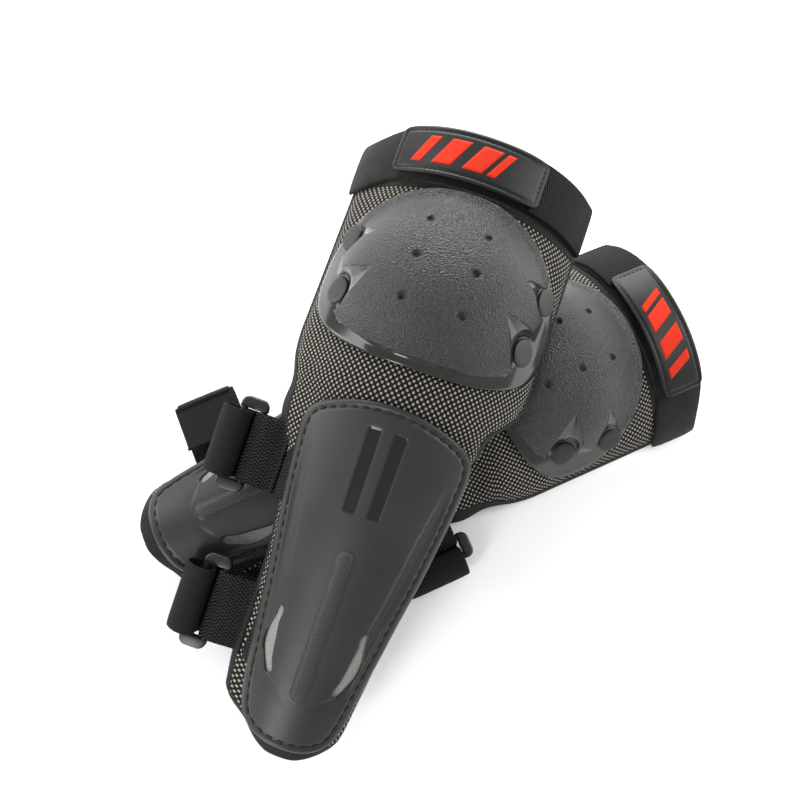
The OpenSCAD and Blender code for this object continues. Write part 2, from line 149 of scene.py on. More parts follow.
def mix(a, b, t):
    return a + (b - a) * t


def placeIn(axes, section):
    # gives the function that takes a point in the guard's axes to the row's axes
    if section in ("shin", "knee"):
        return lambda p: axes[section] @ p
    pivot = Vector((0, 0, guard["hingeHeight"]))

    def bent(p):
        share = smoothStep((p.y + guard["bendReach"]) / (2 * guard["bendReach"]))
        return axes["shin"] @ (pivot + Matrix.Rotation(-axes["bend"] * share, 3, "X") @ (p - pivot))
    return bent


# ---- surfaces of the pad ----

pad = {
    "shinLength": 232, "kneeLength": 129, "waistRadius": 75, "endRadius": 34.5,
    "waistHeight": 50, "endHeight": 36.5, "kneeRadius": 79, "kneeHeight": 53,
    "thickness": 10.2, "edgeThickness": 4, "softEdge": 14, "edgeHeight": 5,
    "waistCut": {-1: 3, 1: 17}, "waistCutReach": 18, "waistCutAt": -4, "tongue": 223, "endRound": 0.16,
    "joinReach": 16, "flare": {-1: 6, 1: 3.5}, "waistFlare": 10,
    "endFlare": 11, "tuckMargin": 0.5, "tuckKeep": 0.1,
    # angles and places over which the sides take their flare: where it starts and how long it grows
    "sideAngle": (0.75, 0.5), "endAngle": (0.85, 0.4), "kneeRise": (-15, 45), "endRise": (100, 90),
    "tuckRise": (4, 24), "waistFlareAt": (-26, 26), "plateHalf": (52.6, 30), "plateLength": 214,
}
pad["waistCentre"] = pad["waistHeight"] - pad["waistRadius"]
pad["endCentre"] = pad["endHeight"] - pad["endRadius"]
pad["kneeCentre"] = pad["kneeHeight"] - pad["kneeRadius"]
coneRise = pad["endCentre"] - pad["waistCentre"]
coneLength = hypot(pad["shinLength"], coneRise)
coneSin, coneCos = coneRise / coneLength, pad["shinLength"] / coneLength
coneSlope = (pad["waistRadius"] - pad["endRadius"]) / coneLength


def shinPoint(y, angle, out):
    # point on the tapered shin surface, at an angle from its crest, moved out of it
    reach = pad["waistRadius"] + out
    s = (-y + coneSin * reach * cos(angle)) / (coneCos + coneSin * coneSlope * cos(angle))
    r = reach - coneSlope * s
    return Vector((r * sin(angle), -coneCos * s + coneSin * r * cos(angle),
                   pad["waistCentre"] + coneSin * s + coneCos * r * cos(angle)))


def kneePoint(y, angle, out):
    r = pad["kneeRadius"] + out
    return Vector((r * sin(angle), y, pad["kneeCentre"] + r * cos(angle)))


def risen(value, name):
    start, length = pad[name]
    return smoothStep((value - start) / length)


def padPoint(y, angle, out):
    share = smoothStep((y + pad["joinReach"]) / (2 * pad["joinReach"]))
    p = shinPoint(y, angle, out).lerp(kneePoint(y, angle, out), share)
    # the knee's sides flare, more on the buckles' side; on the other side the shin is drawn in
    # under the plate's edge
    side = copysign(1, angle)
    low = risen(abs(angle), "sideAngle")
    p.x += side * pad["flare"][side] * low * risen(y, "kneeRise")
    if side < 0:
        middle, reach = pad["waistFlareAt"]
        p.x -= pad["waistFlare"] * low * exp(-((y - middle) / reach) ** 2)
        p.x -= pad["endFlare"] * risen(abs(angle), "endAngle") * risen(-y, "endRise")
    else:
        limit = mix(*pad["plateHalf"], -y / pad["plateLength"]) + pad["tuckMargin"]
        if p.x > limit:
            p.x -= (p.x - limit) * (1 - pad["tuckKeep"]) * risen(-y, "tuckRise")
    return p


def shinAngle(x, y, out):
    # angle from the crest at which the shin surface has that x
    s = -y / coneCos
    for _ in range(3):
        r = pad["waistRadius"] + out - coneSlope * s
        angle = asin(max(-0.999, min(0.999, x / r)))
        s = (-y + coneSin * r * cos(angle)) / coneCos
    return angle


def padHalfAngle(y, side):
    # angle from the crest to the pad's edge on one side
    low = exp(-((y - pad["waistCutAt"]) / pad["waistCutReach"]) ** 2)
    low = pad["edgeHeight"] + pad["waistCut"][1 if side >= 0 else -1] * low
    share = smoothStep((y + pad["joinReach"]) / (2 * pad["joinReach"]))
    s = min(-y, pad["shinLength"]) / coneCos
    radius = mix(pad["waistRadius"] - coneSlope * s, pad["kneeRadius"], share)
    centre = mix(pad["waistCentre"] + coneSin * s, pad["kneeCentre"], share)
    angle = acos(max(-1, min(1, (low - centre) / radius)))
    t = (20 - y) / (20 + pad["tongue"])
    if t > 1 - pad["endRound"]:
        limit = mix(87, 42.5, t) * sqrt(max(0, 1 - ((t - 1 + pad["endRound"]) / pad["endRound"]) ** 2))
        angle = min(angle, asin(min(1, limit / radius)))
    return angle


# ---- making meshes ----

def gridSheet(across, along, shape):
    # a square grid whose points the shape function puts in place; it also gives the cloth's own
    # coordinates in metres, which the materials read
    bm = bmesh.new()
    bmesh.ops.create_grid(bm, x_segments=across, y_segments=along, size=1)
    weave = bm.loops.layers.uv.new("weave")
    spots = {}
    for v in bm.verts:
        place, spots[v] = shape(v.co.x, v.co.y)
        v.co = place
    for face in bm.faces:
        for loop in face.loops:
            loop[weave].uv = spots[loop.vert]
    return bm


def closeUp(bm, distance=0.001):
    bmesh.ops.remove_doubles(bm, verts=bm.verts[:], dist=distance)
    holes = [e for e in bm.edges if e.is_boundary]
    if holes:
        bmesh.ops.holes_fill(bm, edges=holes, sides=0)
    bmesh.ops.recalc_face_normals(bm, faces=bm.faces[:])
    return bm


def facingOut(bm):
    # turns an open sheet's faces towards the outside of the leg
    bmesh.ops.recalc_face_normals(bm, faces=bm.faces[:])
    if sum(f.normal.z for f in bm.faces) < 0:
        bmesh.ops.reverse_faces(bm, faces=bm.faces[:])
    return bm


def addTo(bm, other):
    # puts a second bmesh into the first
    spare = bpy.data.meshes.new("spare")
    other.to_mesh(spare)
    other.free()
    bm.from_mesh(spare)
    bpy.data.meshes.remove(spare)
    return bm


def smoothPath(points, steps):
    # smooth curve through a few points, without overshoot where a short stretch meets a long one
    points = [Vector(p) for p in points]
    found = []
    last = len(points) - 1
    for i in range(last):
        a, b = points[i], points[i + 1]
        size = (b - a).length
        u = (b - points[max(0, i - 1)]).normalized() * size
        v = (points[min(last, i + 2)] - a).normalized() * size
        for k in range(steps):
            t = k / steps
            found.append(a * ((1 - t) ** 2 * (1 + 2 * t)) + u * (t * (1 - t) ** 2)
                         + b * (t * t * (3 - 2 * t)) - v * (t * t * (1 - t)))
    return found + [points[-1]]


def lengthsAlong(path):
    total = [0.0]
    for a, b in zip(path, path[1:]):
        total.append(total[-1] + (b - a).length)
    return total


strapSection = {"around": 28, "sideRound": 0.45, "faceRound": 0.6}


def strapMesh(path, width, thick, middle=0.0):
    # webbing along a path in the x-z plane, with rounded edges, its width along y
    run = lengthsAlong(path)
    last = len(path) - 1

    def shape(a, b):
        i = round((b + 1) / 2 * last)
        way = (path[min(last, i + 1)] - path[max(0, i - 1)]).normalized()
        out = Vector((-way[1], 0, way[0]))
        turn = (a + 1) * pi
        c, s = cos(turn), sin(turn)
        y = copysign(abs(c) ** strapSection["sideRound"], c) * width / 2
        z = copysign(abs(s) ** strapSection["faceRound"], s) * thick / 2
        spot = Vector((path[i][0], middle + y, path[i][1])) + out * z
        return spot, (y * mm, run[i] * mm)
    return closeUp(gridSheet(strapSection["around"], last, shape))


def stitchRow(path, pitch, length, radius, axisHeight):
    # a row of separate stitches along a path, each one a small spindle that dips at both ends; they
    # face away from an axis along y
    bm = bmesh.new()
    run = lengthsAlong(path)
    count = int(run[-1] / pitch)
    k = 0
    for n in range(count):
        where = (n + 0.5) * run[-1] / count
        while run[k + 1] < where:
            k += 1
        spot = path[k].lerp(path[k + 1], (where - run[k]) / max(1e-9, run[k + 1] - run[k]))
        way = (path[k + 1] - path[k]).normalized()
        out = Vector((spot.x, 0, spot.z - axisHeight)).normalized()
        aside = way.cross(out).normalized()
        out = aside.cross(way)
        turn = Matrix((way, aside, out)).transposed().to_4x4()
        shape = Matrix.Translation(spot) @ turn @ Matrix.Diagonal((length / 2, radius, radius, 1))
        bmesh.ops.create_uvsphere(bm, u_segments=6, v_segments=5, radius=1, matrix=shape)
    return bm


made = {}


def makeObject(bm, axes, name, section, body, nodes, slot, finish, thick=0, smooth=0, levels=0):
    # turns a bmesh in a guard's axes into an object that rides on one of the row's bodies
    bm = bm.copy()
    put = placeIn(axes, section)
    for v in bm.verts:
        v.co = put(v.co)
    if axes["mirror"] < 0:
        bmesh.ops.reverse_faces(bm, faces=bm.faces[:])
    mesh = bpy.data.meshes.new(axes["side"] + "_" + name)
    bm.to_mesh(mesh)
    bm.free()
    mesh.shade_smooth()
    piece = bpy.data.objects.new(mesh.name, mesh)
    scene.collection.objects.link(piece)
    for material in finish if isinstance(finish, list) else [finish]:
        mesh.materials.append(material)
    if thick:
        wall = piece.modifiers.new("wall", "SOLIDIFY")
        wall.thickness, wall.offset = thick * mm, -1
        wall.use_even_offset = False
    if smooth:
        mesh.set_sharp_from_angle(angle=radians(smooth))
    if levels:
        soft = piece.modifiers.new("smooth", "SUBSURF")
        soft.levels = soft.render_levels = levels
    if body:
        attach(piece, axes["side"] + "_" + body)
    if nodes:
        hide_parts(*[axes["side"] + "_" + n for n in nodes])
    made[piece.name] = piece
    return piece


def makePair(bm, name, section, body, nodes, slot, finish, **more):
    pair = [makeObject(bm, axes, name, section, body, nodes, slot, finish, **more)
            for axes in sides.values()]
    bm.free()
    return pair


# ---- materials ----

def addNode(tree, kind, settings=None, links=None):
    # settings go to the node or to its sockets, links join other nodes' outputs to its inputs
    node = tree.nodes.new("ShaderNode" + kind)
    for key, value in (settings or {}).items():
        if isinstance(key, int) or key in node.inputs:
            node.inputs[key].default_value = value
        else:
            setattr(node, key, value)
    for key, source in (links or {}).items():
        tree.links.new(source, node.inputs[key])
    return node


def newMaterial(name, colour, roughness, settings=None):
    material = bpy.data.materials.new(name)
    material.use_nodes = True
    tree = material.node_tree
    shader = tree.nodes["Principled BSDF"]
    shader.inputs["Base Color"].default_value = fromHex(colour)
    shader.inputs["Roughness"].default_value = roughness
    for key, value in (settings or {}).items():
        shader.inputs[key].default_value = value
    return material, tree, shader


def ramp(tree, source, stops):
    node = addNode(tree, "ValToRGB", {}, {"Fac": source})
    points = node.color_ramp.elements
    points[0].position, points[0].color = stops[0][0], fromHex(stops[0][1])
    points[1].position, points[1].color = stops[1][0], fromHex(stops[1][1])
    for position, colour in stops[2:]:
        points.new(position).color = fromHex(colour)
    return node.outputs["Color"]


def colourBy(tree, shader, source, stops):
    tree.links.new(ramp(tree, source, stops), shader.inputs["Base Color"])


def bumpOf(tree, shader, height, strength, distance):
    bump = addNode(tree, "Bump", {"Strength": strength, "Distance": distance}, {"Height": height})
    tree.links.new(bump.outputs["Normal"], shader.inputs["Normal"])


def math(tree, operation, a, b=None):
    links, settings = {}, {"operation": operation}
    for key, value in ((0, a), (1, b)):
        if isinstance(value, (int, float)):
            settings[key] = value
        elif value is not None:
            links[key] = value
    return addNode(tree, "Math", settings, links).outputs[0]


def times(tree, a, b):
    return math(tree, "MULTIPLY", a, b)


def plus(tree, a, b):
    return math(tree, "ADD", a, b)


def wave(tree, coordinate, period):
    # a cosine along a coordinate, with its period in metres
    return math(tree, "COSINE", times(tree, coordinate, 2 * pi / period))


def weaveAxes(tree):
    # the cloth's own coordinates: across and along it
    uv = addNode(tree, "UVMap", {"uv_map": "weave"})
    parts = addNode(tree, "SeparateXYZ", {}, {0: uv.outputs[0]})
    return parts.outputs[0], parts.outputs[1]


def blended(tree, a, b, share):
    # one pattern with a share of another added
    return plus(tree, a, times(tree, b, share))


def noise(tree, scale, detail=3.0, rough=0.5, source=None):
    where = source or addNode(tree, "TexCoord").outputs["Object"]
    return addNode(tree, "TexNoise", {"Scale": scale, "Detail": detail, "Roughness": rough},
                   {"Vector": where}).outputs["Fac"]


def makeMeshFabric():
    # basket-weave polyester mesh: light knots every 2.7 mm over dark ground yarns
    material, tree, shader = newMaterial("basketMesh", "#1b1a19", 0.85, {"Specular IOR Level": 0.15})
    u, v = weaveAxes(tree)
    knots = times(tree, wave(tree, u, 0.0038), wave(tree, v, 0.0038))
    fray = times(tree, noise(tree, 900, 2), 0.5)
    height = plus(tree, knots, math(tree, "SUBTRACT", fray, 0.25))   # loose fibres
    colourBy(tree, shader, height, [(0.0, "#131310"), (0.2, "#33312d"), (0.42, "#78746b"),
                                    (0.85, "#a09b91")])
    bumpOf(tree, shader, height, 0.7, 0.0005)
    return material


def makeGrainedPlastic():
    # moulded polypropylene: the dome has a pebble grain about 1 mm wide, its margins are polished
    material, tree, shader = newMaterial("grainedPolypropylene", "#232523", 0.4, {"IOR": 1.49})
    polish = addNode(tree, "Attribute", {"attribute_name": "polish"}).outputs["Fac"]
    where = addNode(tree, "TexCoord").outputs["Object"]
    cells = addNode(tree, "TexVoronoi", {"Scale": 1050.0, "feature": "SMOOTH_F1", "Smoothness": 0.5},
                    {"Vector": where}).outputs["Distance"]
    pebbles = blended(tree, cells, noise(tree, 700, 3), 0.7)
    grained = math(tree, "SUBTRACT", 1.0, polish)
    height = times(tree, pebbles, grained)
    rough = addNode(tree, "MapRange", {"To Min": 0.42, "To Max": 0.12}, {"Value": polish})
    tree.links.new(rough.outputs[0], shader.inputs["Roughness"])
    colourBy(tree, shader, noise(tree, 28, 4), [(0.3, "#202320"), (0.7, "#2b2d2a")])
    bumpOf(tree, shader, height, 1.0, 0.0007)
    return material


def makePlatePlastic():
    # satin moulded polypropylene with a faint texture; the inlaid bars are polished
    material, tree, shader = newMaterial("satinPolypropylene", "#262826", 0.42, {"IOR": 1.49})
    polish = addNode(tree, "Attribute", {"attribute_name": "polish"}).outputs["Fac"]
    knurl = addNode(tree, "Attribute", {"attribute_name": "knurl"}).outputs["Fac"]
    u, v = weaveAxes(tree)
    fine = noise(tree, 2600, 2)
    ridges = times(tree, wave(tree, v, 0.0016), wave(tree, u, 0.0016))
    height = plus(tree, times(tree, fine, 0.25), times(tree, ridges, knurl))
    rough = addNode(tree, "MapRange", {"To Min": 0.45, "To Max": 0.14}, {"Value": polish})
    scuffs = times(tree, noise(tree, 60, 5, 0.6), 0.08)
    tree.links.new(plus(tree, rough.outputs[0], scuffs), shader.inputs["Roughness"])
    tint = addNode(tree, "Mix", {"data_type": "RGBA"}, {0: polish})
    mottled = ramp(tree, noise(tree, 22, 3), [(0.3, "#1c1e1c"), (0.7, "#252725")])
    tree.links.new(mottled, tint.inputs[6])
    tint.inputs[7].default_value = fromHex("#151716")
    tree.links.new(tint.outputs[2], shader.inputs["Base Color"])
    bumpOf(tree, shader, height, 0.45, 0.0004)
    return material


def makeWebbing():
    # polypropylene webbing in a coarse herringbone: ribs 2.3 mm apart that change slant every 3.1 mm
    material, tree, shader = newMaterial("herringboneWebbing", "#161617", 0.75,
                                         {"Specular IOR Level": 0.2})
    u, v = weaveAxes(tree)
    along = math(tree, "FRACT", times(tree, v, 1 / 0.0062))
    zigzag = math(tree, "ABSOLUTE", math(tree, "SUBTRACT", along, 0.5))
    slanted = plus(tree, u, times(tree, zigzag, 0.0052))
    ribs = wave(tree, slanted, 0.0023)
    height = blended(tree, ribs, noise(tree, 1500, 2), 0.5)
    colourBy(tree, shader, height, [(0.0, "#030303"), (0.55, "#141413"), (1.0, "#3a3a37")])
    bumpOf(tree, shader, height, 1.0, 0.0012)
    return material


def makeElastic(name, rib, comb, slant, light):
    # woven elastic: raised ribs, straight or slanted, and finer yarns across them
    material, tree, shader = newMaterial(name, "#141415", 0.8, {"Specular IOR Level": 0.2})
    u, v = weaveAxes(tree)
    ribs = wave(tree, plus(tree, v, times(tree, u, slant)), rib)
    yarns = wave(tree, plus(tree, u, times(tree, v, 0.5)), comb)
    fuzz = blended(tree, blended(tree, ribs, yarns, 0.4), noise(tree, 1200, 2), 0.6)
    colourBy(tree, shader, fuzz, [(0.0, "#070707"), (1.0, light)])
    bumpOf(tree, shader, fuzz, 0.8, 0.0005)
    return material


def makePile(name, colour, light, scale, depth):
    # brushed nylon loop pile: a soft nap without a visible weave
    material, tree, shader = newMaterial(name, colour, 0.95,
                                         {"Specular IOR Level": 0.1, "Sheen Weight": 0.12})
    nap = blended(tree, noise(tree, scale, 4, 0.7), noise(tree, 140, 3), 0.7)
    colourBy(tree, shader, nap, [(0.5, colour), (1.0, light)])
    bumpOf(tree, shader, nap, 0.8, depth)
    return material


def makePlainCloth(name, colour, light, period, roughness, strength):
    # plain weave with yarns at a small pitch
    material, tree, shader = newMaterial(name, colour, roughness, {"Specular IOR Level": 0.3})
    u, v = weaveAxes(tree)
    cloth = times(tree, wave(tree, u, period), wave(tree, v, period))
    height = blended(tree, cloth, noise(tree, 300, 3), 0.8)
    colourBy(tree, shader, height, [(0.0, colour), (1.0, light)])
    bumpOf(tree, shader, height, strength, 0.0003)
    return material


def makeMoulded(name, colour, roughness, grain=0.15):
    # small injection-moulded parts with a slight unevenness
    material, tree, shader = newMaterial(name, colour, roughness, {"IOR": 1.5})
    uneven = noise(tree, 260, 3)
    worn = plus(tree, times(tree, uneven, 0.15), roughness - 0.07)
    tree.links.new(worn, shader.inputs["Roughness"])
    bumpOf(tree, shader, uneven, grain, 0.0002)
    return material


def makeFoam(name, colour, dark):
    # closed-cell foam sheet: fine open pores over a flat colour
    material, tree, shader = newMaterial(name, colour, 0.9)
    pores = addNode(tree, "TexVoronoi", {"Scale": 900.0},
                    {"Vector": addNode(tree, "TexCoord").outputs["Object"]}).outputs["Distance"]
    colourBy(tree, shader, pores, [(0.0, dark), (0.5, colour)])
    bumpOf(tree, shader, pores, 0.3, 0.0003)
    return material


finishes = {
    "mesh": makeMeshFabric(),
    "cup": makeGrainedPlastic(),
    "plate": makePlatePlastic(),
    "webbing": makeWebbing(),
    "ribbed": makeElastic("ribbedElastic", 0.0019, 0.0011, 0.6, "#252522"),
    "strap": makeElastic("twillElastic", 0.0016, 0.0012, 1.0, "#232320"),
    "pile": makePile("loopPile", "#0d0d0c", "#20201d", 900, 0.0006),
    "lining": makePile("brushedLining", "#131314", "#1e1e20", 700, 0.0004),
    "binding": makePlainCloth("bindingTape", "#0e0e0f", "#232324", 0.0012, 0.8, 0.5),
    "patch": makePlainCloth("coatedPatch", "#131412", "#1c1d1b", 0.0009, 0.42, 0.15),
    "hook": makePile("hookTape", "#0c0c0d", "#1a1a1b", 1300, 0.0008),
    "thread": makePlainCloth("bondedThread", "#070708", "#19191a", 0.0006, 0.6, 0.4),
    "print": makePlainCloth("redScreenPrint", "#c62400", "#d02a02", 0.0009, 0.8, 0.1),
    "rivet": makeMoulded("mouldedNylon", "#101210", 0.5),
    "ring": makeMoulded("mouldedAcetal", "#171917", 0.4),
    "lightFoam": makeFoam("lightGreyFoam", "#83847f", "#5e5f5b"),
}
print("materials made:", len(finishes))


def makeFloor():
    bm = bmesh.new()
    bmesh.ops.create_grid(bm, x_segments=4, y_segments=4, size=4)
    bmesh.ops.translate(bm, verts=bm.verts[:], vec=(0, 0, -0.0003))
    mesh = bpy.data.meshes.new("floor")
    bm.to_mesh(mesh)
    bm.free()
    floor = bpy.data.objects.new("floor", mesh)
    scene.collection.objects.link(floor)
    mesh.materials.append(newMaterial("whiteSweep", "#ffffff", 0.9, {"Specular IOR Level": 0.1})[0])


makeFloor()

# ---- the soft pad, its lining and its binding ----

padMesh = {"across": 44, "alongShin": 54, "alongKnee": 34, "air": 3.5, "cap": 1.6, "frames": 16}


def padRows():
    rows, turn = padMesh["alongShin"], pad["tongue"] - (pad["tongue"] + 20) * pad["endRound"]
    straight = [mix(0, -turn, i / (rows - 14)) for i in range(rows - 14)]
    curved = [-turn - (pad["tongue"] - turn) * sin(radians(80) * i / 13) for i in range(14)]
    knee = [pad["kneeLength"] * i / padMesh["alongKnee"] for i in range(padMesh["alongKnee"], 0, -1)]
    return (knee + straight + curved)[::-1]


def padRadius(y):
    return pad["kneeRadius"] if y > 0 else pad["waistRadius"] + y * coneSlope


def padEdgeDistance(y, share, half):
    return min((1 - abs(share)) * half * padRadius(y), pad["kneeLength"] - y, y + pad["tongue"])


def padOut(y, share, half, inside):
    # how far a point of the pad's outer or inner face stands out of the outer surface
    full = smoothStep(padEdgeDistance(y, share, half) / pad["softEdge"])
    thick = mix(pad["edgeThickness"], pad["thickness"], full)
    drop = (pad["thickness"] - thick) * 0.45
    return -drop - thick if inside else -drop


pressed = {"cupMiddle": 70, "cupHalf": (66, 50), "cupPower": 2.4, "plateTop": -12, "plateEnd": -205,
           "plateHalf": (48, 28)}


def covered(p):
    # whether the cup or the plate presses on the pad there
    wide, long = pressed["cupHalf"]
    power = pressed["cupPower"]
    cup = abs(p.x / wide) ** power + abs((p.y - pressed["cupMiddle"]) / long) ** power < 1
    half = mix(*pressed["plateHalf"], p.y / pressed["plateEnd"])
    return cup or pressed["plateEnd"] < p.y < pressed["plateTop"] and abs(p.x) < half


def buildPad(axes):
    rows = padRows()
    across, along = padMesh["across"], len(rows) - 1

    def face(inside):
        def shape(a, b):
            y = rows[round((b + 1) / 2 * along)]
            half = padHalfAngle(y, a)
            out = padOut(y, a, half, inside)
            p = padPoint(y, a * half, out)
            return p, (a * half * padRadius(y) * mm, y * mm)
        return gridSheet(across, along, shape)
    bm = face(False)
    inner = face(True)
    bmesh.ops.reverse_faces(inner, faces=inner.faces[:])
    for f in inner.faces:
        f.material_index = 1
    addTo(bm, inner)
    rim = bmesh.ops.bridge_loops(bm, edges=[e for e in bm.edges if e.is_boundary])
    for f in rim["faces"]:
        f.material_index = 1
    held = bm.verts.layers.float.new("held")
    for v in bm.verts:
        walls = {f.material_index for f in v.link_faces}
        v[held] = 1.0 if len(walls) > 1 or walls == {0} and covered(v.co) else 0.0
    piece = makeObject(bm, axes, "pad", "bent", None,
                       ["knee_cover", "knee_foam", "knee_lining", "knee_core", "shin_cover",
                        "shin_foam", "shin_lining", "waist_bridge"],
                       "mesh_fabric", [finishes["mesh"], finishes["lining"]])
    bm.free()
    return piece


def fillWithAir(piece):
    # swells the bare stretches of the pad between its bound edges, the cup and the plate
    mesh = piece.data
    start = [v.co.copy() for v in mesh.vertices]
    pins = piece.vertex_groups.new(name="held")
    for i, item in enumerate(mesh.attributes["held"].data):
        if item.value > 0.5:
            pins.add([i], 1.0, "REPLACE")
    air = piece.modifiers.new("air", "CLOTH")
    air.settings.use_pressure = True
    air.settings.uniform_pressure_force = padMesh["air"]
    air.settings.effector_weights.gravity = 0
    air.settings.vertex_group_mass = "held"
    air.settings.tension_stiffness = air.settings.compression_stiffness = 25
    air.settings.bending_stiffness = 2
    air.point_cache.frame_start, air.point_cache.frame_end = 1, padMesh["frames"]
    for number in range(1, padMesh["frames"] + 1):
        scene.frame_set(number)
    swollen = piece.evaluated_get(bpy.context.evaluated_depsgraph_get()).data
    moved = [v.co.copy() for v in swollen.vertices]
    piece.modifiers.remove(air)
    scene.frame_set(1)
    cap = padMesh["cap"] * mm
    for v, old, new in zip(mesh.vertices, start, moved):
        step = new - old
        v.co = old + step * min(1, cap / max(step.length, 1e-9))
    piece.vertex_groups.clear()


def bendAcross(piece):
    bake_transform(piece)


bindingTape = {"shin": 13, "knee": 5, "thick": 0.55}


def buildBinding():
    # folded tape round the whole edge of the pad, wider along the shin; it follows both faces
    rows = padRows()
    ends = rows[0], rows[-1]
    path = [(y, 1) for y in rows]
    path += [(ends[1], 1 - 2 * i / 24) for i in range(1, 24)]
    path += [(y, -1) for y in reversed(rows)]
    path += [(ends[0], -1 + 2 * i / 6) for i in range(1, 7)]
    section = [(0.0, 0), (0.03, 1), (0.2, 1), (0.45, 1), (0.75, 1), (1, 1), (1, -1), (0.75, -1),
               (0.45, -1), (0.2, -1), (0.03, -1), (0.0, 0)]

    def spotAt(i, k):
        y, share = path[i]
        wide = mix(bindingTape["shin"], bindingTape["knee"], smoothStep((y + 40) / 60))
        reach = max(1, padHalfAngle(y, share) * padRadius(y))
        inY = max(ends[0] + wide, min(ends[1] - wide, y))
        inShare = copysign(min(abs(share), max(0, 1 - wide / reach)), share)
        depth, face = section[k]
        y, share = mix(y, inY, depth), mix(share, inShare, depth)
        half = padHalfAngle(y, share)
        if face:
            out = padOut(y, share, half, face < 0) + face * bindingTape["thick"]
        else:
            out = (padOut(y, share, half, False) + padOut(y, share, half, True)) / 2
            share *= 1 + bindingTape["thick"] * 1.2 / reach
            y += bindingTape["thick"] * 1.2 * (1 if y >= ends[1] else -1 if y <= ends[0] else 0)
        return padPoint(y, share * half, out)

    def shape(a, b):
        i = round((b + 1) / 2 * (len(path) - 1))
        k = round((a + 1) / 2 * (len(section) - 1))
        return spotAt(i, k), (k * 1.2 * mm, run[i] * mm)
    run = lengthsAlong([spotAt(i, 0) for i in range(len(path))])
    return closeUp(gridSheet(len(section) - 1, len(path) - 1, shape), 0.01)


binding = buildBinding()
for axes in sides.values():
    soft = buildPad(axes)
    fillWithAir(soft)
    subdivided = soft.modifiers.new("smooth", "SUBSURF")
    subdivided.levels = subdivided.render_levels = 1
    bendAcross(soft)
    tape = makeObject(binding, axes, "binding", "bent", None, ["knee_binding", "shin_binding"],
                      "binding", finishes["binding"], levels=1)
    bendAcross(tape)
binding.free()
print("pads made")

# ---- the knee cup ----

cup = {
    "domeRadius": 64.5, "domeCentre": (70, 14), "wall": 2.5, "clear": 0.3, "join": 3.5,
    "halfWidth": 73, "middle": 62, "lower": 45.5, "upper": 64, "lowerPower": 2.6, "upperPower": 2.2,
    "step": 1.0, "stepWidth": 0.8, "seat": 9.6, "cells": 176,
    "dimples": [(17, 98), (17, 74), (17, 50)], "dimple": (0.9, 2.9, 2.3),
    # half of the grained area's outline, from the band below up past the two flutes
    "grained": [(0, 22.4), (12, 22.4), (25, 24.4), (36, 27), (45, 30.4), (51, 33.6), (55.5, 38.5),
                (39.5, 62.5), (60, 64.5), (64, 77), (45.5, 86.5), (60, 95.5), (58, 107), (45, 119),
                (22, 128), (0, 131)],
}
rivet = {
    "spots": [(49.6, 87.5), (45.4, 52)], "radius": 8.6, "height": 1.3, "shank": 2.4, "gap": -0.2,
}


def outlineDistance(x, y, outline):
    # signed distance from points to a closed outline, negative inside it
    best = np.full(x.shape, 1e9)
    inside = np.zeros(x.shape, bool)
    for (ax, ay), (bx, by) in zip(outline, outline[1:] + outline[:1]):
        dx, dy = bx - ax, by - ay
        t = np.clip(((x - ax) * dx + (y - ay) * dy) / (dx * dx + dy * dy + 1e-12), 0, 1)
        best = np.minimum(best, np.hypot(x - ax - t * dx, y - ay - t * dy))
        crosses = (ay > y) != (by > y)
        inside ^= crosses & (x < dx * (y - ay) / (dy if dy else 1e-12) + ax)
    return np.where(inside, -best, best)


def smoothSteps(t):
    t = np.clip(t, 0, 1)
    return t * t * (3 - 2 * t)


def cupRim(dx, dy):
    low = dy < 0
    power = cup["lowerPower"] if low else cup["upperPower"]
    reach = cup["lower"] if low else cup["upper"]
    return ((abs(dx) / cup["halfWidth"]) ** power + (abs(dy) / reach) ** power) ** (-1 / power)


def discSpot(a, b):
    # takes the square grid to a disc: rings of the square become rings of the disc
    size = max(abs(a), abs(b))
    if size < 1e-9:
        return 0, 0, 0
    angle = pi / 4 * b / a if abs(a) > abs(b) else pi / 2 - pi / 4 * a / b
    if (abs(a) > abs(b) and a < 0) or (abs(a) <= abs(b) and b < 0):
        angle += pi
    return size, cos(angle), sin(angle)


def rivetFlat(angle, y):
    # a rivet's place across the knee in x and z
    r = pad["kneeRadius"] + cup["clear"] + cup["wall"]
    return r * sin(radians(angle)), y


